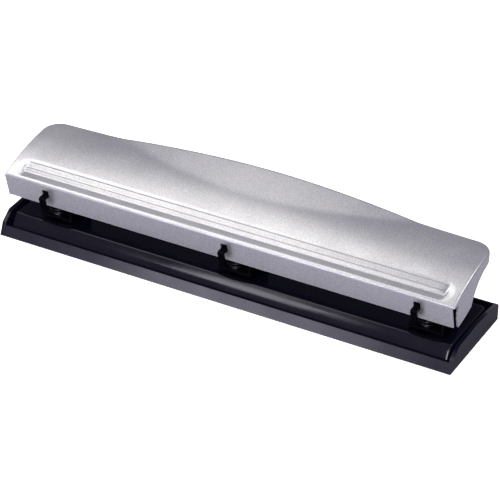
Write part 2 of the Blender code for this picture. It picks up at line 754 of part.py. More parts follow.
def build_lever_cover(body):
    sheet = add_cutter("cover_half", cover_sheet())
    mirror = sheet.modifiers.new("both_halves", "MIRROR")
    mirror.use_axis = (True, False, False)
    mirror.merge_threshold = MERGE
    mirror.use_clip = True
    thicken(sheet, COVER_SHEET)
    slots = []
    for side in HEADS:
        xs = (head_x(side) + SLOT_X[0], head_x(side) + SLOT_X[1])
        slots.append(box_mesh("slot", xs, SLOT_CUT_Y, SLOT_Z))
    solid = build_solid("lever_cover", evaluated_mesh(sheet), [], slots)
    add_part("lever_cover", solid, SILVER_PAINT, body, smooth=True)


def build_pressure_bar(body):
    slope = math.atan(DOME_RISE - 2 * DOME_CURL * (BAR_Y - COVER_FRONT[0]))
    bm = bmesh.new()
    bmesh.ops.create_cube(bm, size=1.0)
    size = (2 * BAR_HALF * MM, BAR_WIDTH * MM, BAR_THICK * MM)
    bmesh.ops.scale(bm, vec=size, verts=bm.verts)
    obj = add_part("pressure_bar", mesh_of(bm, "pressure_bar"), ZINC_STEEL, body)
    obj.location = place(0.0, BAR_Y, dome_height(BAR_Y) - BAR_DROP)
    obj.rotation_euler = (slope, 0.0, 0.0)


clear_scene()
PARTS = new_collection("three_hole_punch")
CUTTERS = new_collection("cutters")

base_body = add_body("base_origin", place(0.0, HALF_DEPTH, 0.0))
lever_body = add_body("lever_axis", place(0.0, *COVER_AXIS))
tray_body = add_body("tray_axis", place(0.0, *TRAY_AXIS))
punch_bodies = {}
for head in HEADS:
    punch_bodies[head] = add_body(f"punch_axis_{head}", place(head_x(head), PIN_Y, PIN_TIP_Z))

build_base_frame(base_body)
build_hinge_pins(base_body)
build_heads(base_body, punch_bodies)
build_lever_cover(lever_body)
build_pressure_bar(lever_body)
build_chip_tray(tray_body)
build_feet(tray_body)
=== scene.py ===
"""Looks of the three hole punch: a metallic silver lever cover over a gloss black base.

Sizes in this file are millimetres. x runs along the length from its middle, y runs back from the
base's front bottom edge and z runs up from the table. at() turns them into the frame's metres.
"""

import math

import bmesh
import bpy
from mathutils import Matrix, Vector


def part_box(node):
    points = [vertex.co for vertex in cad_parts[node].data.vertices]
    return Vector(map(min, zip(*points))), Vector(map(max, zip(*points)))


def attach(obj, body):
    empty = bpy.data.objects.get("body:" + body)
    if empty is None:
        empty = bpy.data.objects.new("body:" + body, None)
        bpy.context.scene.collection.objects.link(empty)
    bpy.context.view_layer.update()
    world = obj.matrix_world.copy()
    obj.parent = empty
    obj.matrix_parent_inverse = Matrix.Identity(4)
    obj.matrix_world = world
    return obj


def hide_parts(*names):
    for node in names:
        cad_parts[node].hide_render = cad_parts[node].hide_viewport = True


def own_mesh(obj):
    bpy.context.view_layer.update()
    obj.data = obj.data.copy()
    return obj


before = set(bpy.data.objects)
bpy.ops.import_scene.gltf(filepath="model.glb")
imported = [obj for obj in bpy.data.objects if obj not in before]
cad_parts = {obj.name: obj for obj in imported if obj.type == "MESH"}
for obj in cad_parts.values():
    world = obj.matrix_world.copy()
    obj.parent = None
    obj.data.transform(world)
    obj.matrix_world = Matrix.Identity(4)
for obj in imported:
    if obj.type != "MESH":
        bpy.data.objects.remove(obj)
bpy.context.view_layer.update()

MM = 0.001
FRONT_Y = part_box("chip_tray")[0].y / MM
HEADS = ("left", "centre", "right")

# Lever cover
COVER_FRONT = (4.8, 36.4)  # y, z of the front top edge
SKIRT_BOTTOM = (8.1, 22.4)
DOME_RISE = 0.42
DOME_CURL = 0.0047
FACET_SLOPE = 0.19
CREASE_Y = 35.7
CREASE_SWEEP = 0.0023
CREASE_SOFT = 0.8
CREASE_LIMIT = 30  # past this the softened crease is straight
REAR_EDGE_Y = 52.0
PRESS_BULGE = 6.5
PRESS_BULGE_WIDTH = 82.0
COVER_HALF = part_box("lever_cover")[1].x / MM
ROLL = 1.25  # radius of the rolled border
REAR_CORNER = 10.0
STRAIGHT_HALF = COVER_HALF - REAR_CORNER
REAR_LIP = 4.3
SHOULDER_Y = 26.0  # the end wall is deep in front of this and only a lip behind it
SHOULDER_DROP = 11.9
SHOULDER_FADE = 0.128
END_FOOT_Z = 21.6
END_FOOT_CURVE = 0.0105
END_LOW_Y = 6.0
END_SHEAR = 12.0  # the end wall's front follows the leaning skirt over this length
SHEET = 1.0
SQUARENESS = 7
POCKET = ((6.5, 0.0), (10.9, -1.32), (13.4, -1.45), (18.0, 0.0))  # y, height
RIBBED = (
    (6.5, 0.0),
    (10.9, -1.32),
    (12.5, -0.45),
    (13.4, -0.82),
    (15.8, 0.02),
    (16.7, -0.3),
    (18.2, 0.0),
)
POCKET_MIDDLE = 12.4
POCKET_END = 121.0
POCKET_FADE = 0.55
POCKET_FADE_LENGTH = 3.0
RIB_END = (120.8, 122.6)
RELIEF_SOFT = 0.3
RELIEF_SAMPLES = 3  # each side of a point
SLOT_X = (4.2, 8.1)  # from the bracket's left side
SLOT_Z = (28.0, 32.8)
SLOT_CORNER = 0.6
SKIRT_END = 129.1
SEAM_START = {-1: 0.9, 1: -0.5}  # behind the skirt's face, at the left and right end walls
SEAM_END = 2.6
SEAM_TAPER = 0.3
SEAM_TOP = 35.5
WINDOW_DROP = 3.0  # windows open at the bottom reach this far below the skirt
WINDOW_MARGIN = 0.5
WALL_BAND = 0.6  # faces this near the cover's ends belong to the end walls
SKIRT_BAND_Y = 9.5  # faces in front of this belong to the skirt

# The cover's grid
GRID_FRONT = COVER_FRONT[0] + 0.95
FINE_STEP, FINE_COUNT = 0.25, 57
MIDDLE_STEP, MIDDLE_COUNT = 0.7, 9
TAIL_COUNT = 36
STRAIGHT_COUNT, ROUND_COUNT = 36, 22
FAN_COUNT = 12

# Base frame
FRAME_BEND = 2.0
FRAME_CORNER = 1.8
FRAME_FRONT = (5.2, 11.05)  # y of the slope's foot and top
FRAME_REAR = 50.0
FRAME_FOOT_Z = 4.7
FRAME_SHEAR = 10.0
FRAME_GRID = (60, 30)
FRAME_FAN_COUNT = 8
SLOPE_BULGE = 0.3
SLOPE_EASE = 0.6  # how much steeper the slope's roll ends than the slope
PIN_HOLE = 3.8

# Heads
WIRE = 0.55
COIL = 4.3
COIL_TURNS = 5.75
COIL_EASE = 0.25  # how much closer the end coils lie
PIN_DOME = 4.5
PIN_SHAFT = 3.5

# Stage
CAMERA_AZIMUTH, CAMERA_ELEVATION = 29.31, 32.26
CAMERA_DISTANCE = 1.193  # metres
CAMERA_TARGET = (4.34, 29.0, 17.15)
CAMERA_LENS = 166.8
LIGHTS = (  # name, place, target and size in metres, power, colour
    ("camera_softbox", (0.2, -0.8, 0.5), (0.0, 0.0, 0.02), (0.5, 0.4), 5.6, (1.0, 0.99, 1.0)),
    ("key_softbox", (-0.3, -0.28, 0.62), (0.0, 0.0, 0.02), (0.36, 0.3), 0.62, (1.0, 0.99, 0.86)),
    ("left_softbox", (-0.6, 0.05, 0.5), (0.0, 0.0, 0.03), (0.3, 0.5), 0.9, (1.0, 0.985, 0.97)),
    ("top_softbox", (-0.25, 0.12, 0.6), (0.0, 0.0, 0.03), (0.4, 0.3), 0.7, (1.0, 0.985, 0.89)),
    ("right_softbox", (0.8, -0.05, 0.35), (0.0, 0.0, 0.03), (0.5, 0.5), 1.5, (1.0, 0.97, 0.97)),
    ("rim_lamp", (0.42, 0.26, 0.63), (0.12, 0.0, 0.03), (0.1, 0.1), 0.9, (1.0, 0.99, 0.97)),
    ("low_strip", (-0.312, -0.745, 0.15), (0.0, 0.0, 0.01), (0.22, 0.24), 0.74, (0.9, 0.86, 1.0)),
    ("slope_lamp", (-0.335, -0.61, 0.53), (0.0, 0.0, 0.01), (0.12, 0.16), 0.42, (0.93, 0.89, 1.0)),
)
WORLD_LOW, WORLD_HIGH = (0.285, 0.28, 0.34), (0.48, 0.475, 0.55)
WORLD_STRENGTH = 0.62
FLOOR_COLOUR = ((0.38, 0.375, 0.42), (0.9, 0.9, 0.9))  # to reflections, to the camera
FLOOR_GLOW = ((0.055, 0.054, 0.066), (0.8, 0.8, 0.8))


def at(x, y, z):
    """A point in the frame's metres."""
    return Vector((x, y + FRONT_Y, z)) * MM


def smooth(low, high, value):
    t = min(1.0, max(0.0, (value - low) / (high - low)))
    return t * t * (3 - 2 * t)


def mix(a, b, t):
    return a + (b - a) * t


def straight_through(knots, value):
    """Height on straight lines between (place, height) knots, level outside them."""
    for (y0, h0), (y1, h1) in zip(knots, knots[1:]):
        if y0 <= value <= y1:
            return mix(h0, h1, (value - y0) / (y1 - y0))
    return knots[0][1] if value < knots[0][0] else knots[-1][1]


def through(knots, value):
    """straight_through with its corners rounded."""
    offsets = [RELIEF_SOFT * k / RELIEF_SAMPLES for k in range(-RELIEF_SAMPLES, RELIEF_SAMPLES + 1)]
    return sum(straight_through(knots, value + offset) for offset in offsets) / len(offsets)


# ---------------------------------------------------------------- materials


class Shader:
    """A Principled material with object-space texture coordinates and a few node helpers."""

    def __init__(self, name, colour, roughness, metallic):
        self.material = bpy.data.materials.new(name)
        self.material.use_nodes = True
        self.nodes = self.material.node_tree.nodes
        self.links = self.material.node_tree.links
        self.main = self.nodes["Principled BSDF"]
        self.main.inputs["Base Color"].default_value = (*colour, 1.0)
        self.main.inputs["Roughness"].default_value = roughness
        self.main.inputs["Metallic"].default_value = metallic
        self.coords = self.nodes.new("ShaderNodeTexCoord").outputs["Object"]
        self.material.diffuse_color = (*colour, 1.0)

    def noise(self, scale, detail=2.0, stretch=(1, 1, 1)):
        mapping = self.nodes.new("ShaderNodeMapping")
        mapping.inputs["Scale"].default_value = stretch
        self.links.new(self.coords, mapping.inputs["Vector"])
        texture = self.nodes.new("ShaderNodeTexNoise")
        texture.inputs["Scale"].default_value = scale
        texture.inputs["Detail"].default_value = detail
        self.links.new(mapping.outputs["Vector"], texture.inputs["Vector"])
        return texture.outputs["Fac"]

    def ranged(self, value, low, high, to_low, to_high):
        node = self.nodes.new("ShaderNodeMapRange")
        node.inputs["From Min"].default_value = low
        node.inputs["From Max"].default_value = high
        node.inputs["To Min"].default_value = to_low
        node.inputs["To Max"].default_value = to_high
        self.links.new(value, node.inputs["Value"])
        return node.outputs["Result"]

    def colours(self, value, *stops):
        ramp = self.nodes.new("ShaderNodeValToRGB")
        elements = ramp.color_ramp.elements
        while len(elements) < len(stops):
            elements.new(0.5)
        for element, (place, colour) in zip(elements, stops):
            element.position = place
            element.color = (*colour, 1.0)
        self.links.new(value, ramp.inputs["Fac"])
        return ramp.outputs["Color"]

    def blend(self, factor, first, second, mode="MIX"):
        node = self.nodes.new("ShaderNodeMix")
        node.data_type = "RGBA"
        node.blend_type = mode
        for socket, value in ((0, factor), (6, first), (7, second)):
            if isinstance(value, bpy.types.NodeSocket):
                self.links.new(value, node.inputs[socket])
            elif socket == 0:
                node.inputs[0].default_value = value
            else:
                node.inputs[socket].default_value = (*value, 1.0)
        return node.outputs[2]

    def sum_of(self, first, second, operation="ADD"):
        node = self.nodes.new("ShaderNodeMath")
        node.operation = operation
        for index, value in enumerate((first, second)):
            if isinstance(value, bpy.types.NodeSocket):
                self.links.new(value, node.inputs[index])
            else:
                node.inputs[index].default_value = value
        return node.outputs["Value"]

    def bump(self, height, strength, distance):
        node = self.nodes.new("ShaderNodeBump")
        node.inputs["Strength"].default_value = strength
        node.inputs["Distance"].default_value = distance
        self.links.new(height, node.inputs["Height"])
        self.links.new(node.outputs["Normal"], self.main.inputs["Normal"])

    def feed(self, name, value):
        if isinstance(value, bpy.types.NodeSocket):
            self.links.new(value, self.main.inputs[name])
        else:
            self.main.inputs[name].default_value = value


def silver_paint():
    """Metallic silver paint: fine flake grain, slow drift in tone, faint orange peel."""
    s = Shader("silver_paint", (0.6, 0.6, 0.64), 0.36, 0.8)
    flake = s.noise(2600, 1.0)
    drift = s.noise(22, 3.0)
    grain = s.colours(flake, (0.36, (0.47, 0.47, 0.505)), (0.64, (0.72, 0.715, 0.74)))
    slow = s.colours(drift, (0.35, (0.93, 0.93, 0.95)), (0.65, (1.0, 1.0, 0.995)))
    s.feed("Base Color", s.blend(1.0, grain, slow, "MULTIPLY"))
    s.feed("Roughness", s.ranged(s.noise(70, 4.0), 0.3, 0.7, 0.29, 0.38))
    peel = s.sum_of(s.noise(420, 2.0), s.sum_of(flake, 0.35, "MULTIPLY"))
    s.bump(peel, 0.1, 0.00008)
    return s.material


def silver_edge():
    """The cut edge of the cover's sheet, where the paint is thin."""
    s = Shader("silver_edge", (0.7, 0.7, 0.73), 0.3, 0.9)
    s.feed("Roughness", s.ranged(s.noise(900, 3.0), 0.3, 0.7, 0.22, 0.45))
    s.bump(s.noise(1500, 2.0), 0.1, 0.00005)
    return s.material


def cover_inside_shade():
    """The cover's unpolished inner face: dark grey as painted shade under the cover, with a fine
    speckle.
    """
    s = Shader("cover_inside_shade", (0.05, 0.05, 0.055), 0.6, 0.2)
    speckle = s.noise(1400, 3.0)
    s.feed("Base Color", s.colours(speckle, (0.4, (0.03, 0.03, 0.034)), (0.7, (0.09, 0.09, 0.1))))
    s.feed("Roughness", s.ranged(s.noise(60, 4.0), 0.3, 0.7, 0.5, 0.72))
    s.bump(speckle, 0.15, 0.0001)
    return s.material


def gloss_black(name, colour, roughness, peel, specular, level_shade_share, end_shade_share, coat):
    """Gloss black with a blue cast, slight orange peel and dust, and painted shade by facing.

    peel is its scale and strength. Painted shade: level and end faces reflect less by their shares,
    upright faces reflect less than the slope, and faces that look down don't reflect, a painted dark
    line along lower edges.
    """
    s = Shader(name, colour, roughness, 0.0)
    dust = s.noise(1900, 2.0)
    patches = s.noise(38, 4.0)
    lighter = tuple(c * 1.6 + 0.0015 for c in colour)
    s.feed("Base Color", s.colours(dust, (0.55, colour), (0.78, lighter)))
    s.feed("Roughness", s.ranged(patches, 0.3, 0.7, roughness * 0.8, roughness * 1.35))
    facing = s.nodes.new("ShaderNodeSeparateXYZ")
    s.links.new(s.nodes.new("ShaderNodeTexCoord").outputs["Normal"], facing.inputs["Vector"])
    # painted shade: the reflection is cut on level, end and downward-looking faces by their facing
    level = s.ranged(facing.outputs["Z"], 0.8, 0.97, specular, specular * level_shade_share)
    end = s.ranged(s.sum_of(facing.outputs["X"], 0.0, "ABSOLUTE"), 0.8, 0.97, 1.0, end_shade_share)
    painted_shadow_under = s.ranged(facing.outputs["Z"], -0.15, 0.25, 0.0, 1.0)
    s.feed("Specular IOR Level", s.sum_of(s.sum_of(level, end, "MULTIPLY"), painted_shadow_under, "MULTIPLY"))
    s.feed("Coat Weight", coat)
    s.feed("Coat Roughness", 0.05)
    s.bump(s.noise(peel[0], 2.0), peel[1], 0.0001)
    return s.material


def worn_edge_glints():
    """Cut edge of the painted base frame, rubbed through to the steel in places; the bright spots are
    partly wear and partly painted glints.
    """
    s = Shader("rubbed_edge_glints", (0.4, 0.4, 0.42), 0.3, 0.95)
    rub = s.noise(500, 3.0)
    # bright spots: part rubbed-through steel, part painted glint
    s.feed("Base Color", s.colours(rub, (0.36, (0.06, 0.06, 0.065)), (0.58, (0.85, 0.85, 0.88))))
    s.feed("Roughness", s.ranged(s.noise(500, 2.0), 0.3, 0.7, 0.2, 0.42))
    return s.material


def steel(name, colour, roughness, stretch):
    """Bare steel with fine drawn or ground lines."""
    s = Shader(name, colour, roughness, 1.0)
    lines = s.noise(900, 3.0, stretch)
    dark = tuple(c * 0.82 for c in colour)
    s.feed("Base Color", s.colours(lines, (0.35, dark), (0.65, colour)))
    s.feed("Roughness", s.ranged(lines, 0.3, 0.7, roughness * 0.75, roughness * 1.4))
    s.feed("Anisotropic", 0.3)
    s.bump(lines, 0.08, 0.00004)
    return s.material


def rubber():
    s = Shader("rubber", (0.022, 0.022, 0.023), 0.8, 0.0)
    grit = s.noise(1200, 4.0)
    s.feed("Base Color", s.colours(grit, (0.4, (0.016, 0.016, 0.017)), (0.7, (0.04, 0.04, 0.04))))
    s.feed("Roughness", s.ranged(grit, 0.3, 0.7, 0.7, 0.92))
    s.bump(grit, 0.3, 0.0001)
    return s.material


MATERIALS = {
    "silver_paint": silver_paint(),
    "silver_edge": silver_edge(),
    # the cover's inside is dark grey painted shade
    "cover_inside_shade": cover_inside_shade(),
    "black_paint": gloss_black(
        "black_enamel", (0.003, 0.0028, 0.009), 0.12, (300, 0.1),
        specular=0.36, level_shade_share=0.1, end_shade_share=0.6, coat=0.05,
    ),
    "black_plastic": gloss_black(
        "black_plastic", (0.0045, 0.004, 0.0125), 0.19, (700, 0.06),
        specular=0.5, level_shade_share=0.1, end_shade_share=0.5, coat=0.0,
    ),
    "black_steel": gloss_black(
        "black_steel", (0.002, 0.002, 0.004), 0.12, (900, 0.08),
        specular=0.035, level_shade_share=0.6, end_shade_share=1.0, coat=0.0,
    ),
    "rubbed_edge_glints": worn_edge_glints(),
    # the pin and spring steels are darkened as painted shade inside the punch heads
    "hard_steel": steel("hard_steel", (0.2, 0.2, 0.21), 0.22, (1, 1, 14)),
    "spring_steel": steel("spring_steel", (0.03, 0.03, 0.034), 0.12, (1, 1, 1)),
    "zinc_steel": steel("zinc_steel", (0.58, 0.59, 0.6), 0.28, (1, 8, 1)),
    "rubber": rubber(),
}


# ---------------------------------------------------------------- piece helpers


def finish_piece(name, mesh, materials, body, node, sharp=35):
    """Links a mesh as a piece that rides on a body and stands for a CAD node."""
    mesh.name = name
    mesh.shade_smooth()
    mesh.set_sharp_from_angle(angle=math.radians(sharp))
    for material in materials:
        mesh.materials.append(MATERIALS[material])
    obj = bpy.data.objects.new(name, mesh)
    bpy.context.scene.collection.objects.link(obj)
    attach(obj, body)
    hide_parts(node)
    return obj


def mesh_of(bm, name):
    mesh = bpy.data.meshes.new(name)
    bm.to_mesh(mesh)
    bm.free()
    return mesh


def closed_mesh(bm, name):
    """mesh_of with every face turned outwards."""
    bmesh.ops.recalc_face_normals(bm, faces=bm.faces)
    return mesh_of(bm, name)


def applied(obj):
    """The mesh of obj with its modifiers applied; obj is removed."""
    bpy.context.view_layer.update()
    graph = bpy.context.evaluated_depsgraph_get()
    mesh = bpy.data.meshes.new_from_object(obj.evaluated_get(graph))
    bpy.data.objects.remove(obj)
    return mesh


def scratch_object(mesh):
    obj = bpy.data.objects.new("scratch", mesh)
    bpy.context.scene.collection.objects.link(obj)
    return obj


def open_window(bm, wall, outline):
    """Removes the part of a wall inside a convex outline.

    wall is -1 or 1 for the end walls, with (y, z) points, and 0 for the front, with (x, z) points.
    """
    along = 1 if wall else 0
    margin = 2 * MM
    low = min(point[0] for point in outline) - margin
    high = max(point[0] for point in outline) + margin
    end_x = (COVER_HALF - WALL_BAND) * MM
    front_y = at(0, SKIRT_BAND_Y, 0).y
    bm.normal_update()

    def on_wall(face):
        centre = face.calc_center_median()
        if abs(face.normal.z) > 0.6 or not low < centre[along] < high:
            return False
        return wall * centre.x > end_x if wall else centre.y < front_y

    near = [f for f in bm.faces if on_wall(f)]
    lines = list(zip(outline, outline[1:] + outline[:1]))
    for (a0, z0), (a1, z1) in lines:
        normal = Vector((0, 0, a0 - a1))
        normal[along] = z1 - z0
        start = Vector((0, 0, z0))
        start[along] = a0
        parts = near + list({e for f in near for e in f.edges})
        parts += list({v for f in near for v in f.verts})
        result = bmesh.ops.bisect_plane(bm, geom=parts, dist=1e-7, plane_co=start, plane_no=normal)
        near = [item for item in result["geom"] if isinstance(item, bmesh.types.BMFace)]

    def inside(face):
        centre = face.calc_center_median()
        a, z = centre[along], centre.z
        return all((a1 - a0) * (z - z0) - (z1 - z0) * (a - a0) > 0 for (a0, z0), (a1, z1) in lines)

    bmesh.ops.delete(bm, geom=[f for f in near if inside(f)], context="FACES")


def rolled_sheet(name, grid, loop, radius, windows=(), arc_steps=8, wall_steps=5, inside=0, bulge=0):
    """A panel whose border rolls over into walls, as a sheet with thickness.

    grid is rows of points. loop goes once round the border. Each station is (row, column, wall
    normal, reach, foot): reach widens the roll in plan, which squares a corner, and foot is the
    wall's bottom point.
    """
    bm = bmesh.new()
    verts = [[bm.verts.new(point) for point in row] for row in grid]
    for row, after in zip(verts, verts[1:]):
        for k in range(len(row) - 1):
            bm.faces.new((row[k], after[k], after[k + 1], row[k + 1]))
    bm.normal_update()
    flip = -1.0 if verts[len(verts) // 2][2].normal.z < 0 else 1.0
    rings = []
    for i, j, wall, reach, foot in loop:
        corner = verts[i][j]
        up = corner.normal * flip
        centre = corner.co - up * radius
        widening = Vector((wall.x, wall.y, 0)) * (reach - 1) * radius
        ring = [corner]
        for step in range(1, arc_steps + 1):
            share = step / arc_steps
            spread = widening * math.sin(math.pi / 2 * share)
            ring.append(bm.verts.new(centre + up.slerp(wall, share) * radius + spread))
        top = ring[-1].co.copy()
        for step in range(1, wall_steps + 1):
            share = step / wall_steps
            out = wall * max(0.0, -wall.y) * bulge * MM * math.sin(math.pi * share)
            ring.append(bm.verts.new(top.lerp(foot, share) + out))
        rings.append(ring)
    for ring, after in zip(rings, rings[1:] + rings[:1]):
        for k in range(len(ring) - 1):
            corners = [ring[k], ring[k + 1], after[k + 1], after[k]]
            if corners[0] is corners[3]:
                corners.pop()
            bm.faces.new(corners)
    for wall, outline in windows:
        open_window(bm, wall, outline)
    bmesh.ops.recalc_face_normals(bm, faces=bm.faces)
    highest = max(bm.faces, key=lambda face: face.calc_center_median().z)
    if highest.normal.z < 0:
        bmesh.ops.reverse_faces(bm, faces=bm.faces)
    obj = scratch_object(mesh_of(bm, name))
    solidify = obj.modifiers.new("sheet", "SOLIDIFY")
    solidify.thickness = SHEET * MM
    solidify.offset = -1.0
    solidify.use_even_offset = True
    solidify.material_offset_rim = 1
    solidify.material_offset = inside
    return obj


def squared(share):
    """How much wider than a circle a nearly square corner is, share of the way round it."""
    angle = math.pi / 2 * share
    return (math.cos(angle) ** SQUARENESS + math.sin(angle) ** SQUARENESS) ** (-1 / SQUARENESS)


def cut(obj, cutters):
    """Takes the cutter meshes out of obj and returns the mesh left."""
    helpers = []
    for mesh in cutters:
        helper = scratch_object(mesh)
        helpers.append(helper)
        modifier = obj.modifiers.new("cut", "BOOLEAN")
        modifier.operation = "DIFFERENCE"
        modifier.object = helper
        modifier.solver = "EXACT"
    mesh = applied(obj)
    for helper in helpers:
        bpy.data.objects.remove(helper)
    return mesh


def softened(node, name, material, body, width, segments=3):
    """The CAD node's solid with its edges rounded, as a new piece.

    Vertex normals lean to the larger face, so that flat faces stay flat in the light.
    """
    bm = bmesh.new()
    bm.from_mesh(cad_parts[node].data)
    bmesh.ops.remove_doubles(bm, verts=bm.verts, dist=0.000002)
    bmesh.ops.dissolve_limit(bm, angle_limit=math.radians(1), verts=bm.verts, edges=bm.edges)
    sharp = [e for e in bm.edges if e.calc_face_angle(0.0) > math.radians(40)]
    bmesh.ops.bevel(
        bm,
        geom=sharp,
        offset=width * MM,
        offset_type="OFFSET",
        segments=segments,
        profile=0.5,
        affect="EDGES",
        clamp_overlap=True,
    )
    bm.normal_update()
    normals = []
    for vert in bm.verts:
        lean = sum((face.normal * face.calc_area() for face in vert.link_faces), Vector())
        normals.append(lean.normalized())
    mesh = mesh_of(bm, name)
    piece = finish_piece(name, mesh, [material], body, node, 180)
    mesh.normals_split_custom_set_from_vertices(normals)
    return piece


def turned(profile, steps):
    """A profile of (radius, height) points, top to bottom, turned about z."""
    bm = bmesh.new()
    verts = [bm.verts.new((r * MM, 0.0, z * MM)) for r, z in profile]
    edges = [bm.edges.new(pair) for pair in zip(verts, verts[1:])]
    bmesh.ops.spin(
        bm,
        geom=verts + edges,
        cent=(0, 0, 0),
        axis=(0, 0, 1),
        angle=2 * math.pi,
        steps=steps,
        use_merge=True,
    )
    bmesh.ops.remove_doubles(bm, verts=bm.verts, dist=0.000003)
    return closed_mesh(bm, "turned")


def box_centre(node):
    low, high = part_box(node)
    return (low + high) / 2


# ---------------------------------------------------------------- lever cover


def dome(y):
    behind = y - COVER_FRONT[0]
    return COVER_FRONT[1] + DOME_RISE * behind - DOME_CURL * behind * behind


def cover_top(x, y):
    """Height of the cover: the dome, the pressed facet behind the crease, and the front ribs."""
    crease = CREASE_Y + CREASE_SWEEP * x * x
    past = (y - crease) / CREASE_SOFT
    t = CREASE_SOFT * (math.log1p(math.exp(past)) if past < CREASE_LIMIT else past)
    slope_there = DOME_RISE - 2 * DOME_CURL * (crease - COVER_FRONT[0])
    facet = max(0.0, FACET_SLOPE - slope_there) * t + DOME_CURL * t * t
    ends = abs(x)
    pocket = through(POCKET, y)
    past_end = ends - POCKET_END
    if past_end > 0:
        across = y - POCKET_MIDDLE
        reach = math.hypot(past_end, across)
        rearward = 0.5 + 0.5 * across / max(reach, 0.001)
        front = through(POCKET, POCKET_MIDDLE - reach)
        rear = through(POCKET, POCKET_MIDDLE + reach)
        pocket = mix(front, rear, rearward)
        pocket *= mix(1.0, POCKET_FADE, smooth(0.0, POCKET_FADE_LENGTH, past_end))
    relief = mix(through(RIBBED, y), pocket, smooth(*RIB_END, ends))
    return dome(y) + facet + relief


def inset_rear(x):
    """The rear end of the flat part of one row, inside the rolled border."""
    edge = REAR_EDGE_Y + PRESS_BULGE * math.exp(-((x / PRESS_BULGE_WIDTH) ** 2)) - ROLL
    inner = REAR_CORNER - ROLL
    past = abs(x) - STRAIGHT_HALF
    if past > 0:
        edge -= inner - math.sqrt(max(inner * inner - past * past, 0.0))
    return edge


def wall_foot_z(x, y):
    """Height of the foot of the end wall, or of the lip behind its shoulder."""
    if y > SHOULDER_Y:
        fade = SHOULDER_DROP * math.exp(-SHOULDER_FADE * (y - SHOULDER_Y))
        return cover_top(x, y) - REAR_LIP - fade
    return END_FOOT_Z + END_FOOT_CURVE * (max(y, END_LOW_Y) - END_LOW_Y) ** 2


def cover_rows():
    """The x of each grid row: even along the length, closer round the rear corners."""
    half = [STRAIGHT_HALF * k / STRAIGHT_COUNT for k in range(STRAIGHT_COUNT + 1)]
    for k in range(1, ROUND_COUNT + 1):
        half.append(STRAIGHT_HALF + (REAR_CORNER - ROLL) * math.sin(math.pi / 2 * k / ROUND_COUNT))
    return [-x for x in reversed(half[1:])] + half


def cover_columns(x):
    """The y of each grid point of one row: close over the ribs, wider behind them."""
    ys = [GRID_FRONT + FINE_STEP * k for k in range(FINE_COUNT)]
    ys += [ys[-1] + MIDDLE_STEP * k for k in range(1, MIDDLE_COUNT + 1)]
    step = (inset_rear(x) - ys[-1]) / TAIL_COUNT
    return ys + [ys[-1] + step * k for k in range(1, TAIL_COUNT + 1)]


def rear_normal(x):
    """The outward direction of the rear edge in plan."""
    inner = REAR_CORNER - ROLL
    past = abs(x) - STRAIGHT_HALF
    if past > 0:
        normal = Vector((math.copysign(past, x), math.sqrt(max(inner * inner - past * past, 0.0)), 0))
    else:
        step = 0.05
        normal = Vector((-(inset_rear(x + step) - inset_rear(x - step)) / (2 * step), 1.0, 0))
    return normal.normalized()


def cover_piece():
    rows = cover_rows()
    places = [cover_columns(x) for x in rows]
    grid = [[at(x, y, cover_top(x, y)) for y in ys] for x, ys in zip(rows, places)]
    last_row, last_column = len(rows) - 1, len(places[0]) - 1
    lean = math.atan2(SKIRT_BOTTOM[0] - COVER_FRONT[0], COVER_FRONT[1] - SKIRT_BOTTOM[1])
    front_wall = Vector((0, -math.cos(lean), -math.sin(lean)))
    corner_y = SKIRT_BOTTOM[0] + ROLL

    def side_foot(side, y):
        """Foot of the end wall, sheared back near the front to follow the leaning skirt."""
        shear = (corner_y - GRID_FRONT) * max(0.0, 1 - (y - GRID_FRONT) / END_SHEAR)
        foot_y = y + shear
        return at(side * COVER_HALF, foot_y, wall_foot_z(side * COVER_HALF, foot_y))

    def fan(side):
        """Stations round a front corner: one panel point, with the wall's normal turning."""
        row = last_row if side > 0 else 0
        stations = []
        for share in [k / FAN_COUNT for k in range(1, FAN_COUNT)]:
            wall = front_wall.slerp(Vector((side, 0, 0)), share)
            reach = squared(share)
            plan = Vector((wall.x, wall.y)).normalized() * ROLL * reach
            z = mix(SKIRT_BOTTOM[1], wall_foot_z(side * COVER_HALF, corner_y), share)
            foot = at(rows[row] + plan.x, corner_y + plan.y, z)
            stations.append((row, 0, wall, reach, foot))
        return stations

    loop = [(i, 0, front_wall, 1, at(rows[i], *SKIRT_BOTTOM)) for i in range(last_row + 1)]
    loop += fan(1)
    right = Vector((1, 0, 0))
    loop += [(last_row, j, right, 1, side_foot(1, places[-1][j])) for j in range(last_column + 1)]
    for i in range(last_row - 1, 0, -1):
        x, y = rows[i], places[i][-1]
        normal = rear_normal(x)
        foot = at(x + normal.x * ROLL, y + normal.y * ROLL, wall_foot_z(x, y))
        loop.append((i, last_column, normal, 1, foot))
    left = Vector((-1, 0, 0))
    loop += [(0, j, left, 1, side_foot(-1, places[0][j])) for j in range(last_column, -1, -1)]
    loop += list(reversed(fan(-1)))
    windows = [(0, slot_outline(side)) for side in HEADS] + [(0, corner_outline())]
    windows += [(side, seam_outline(start)) for side, start in SEAM_START.items()]
    sheet = rolled_sheet("cover_sheet", grid, loop, ROLL * MM, windows, inside=2)
    layers = ["silver_paint", "silver_edge", "cover_inside_shade"]
    mesh = applied(sheet)
    return finish_piece("lever_cover_shell", mesh, layers, "lever", "lever_cover", 32)


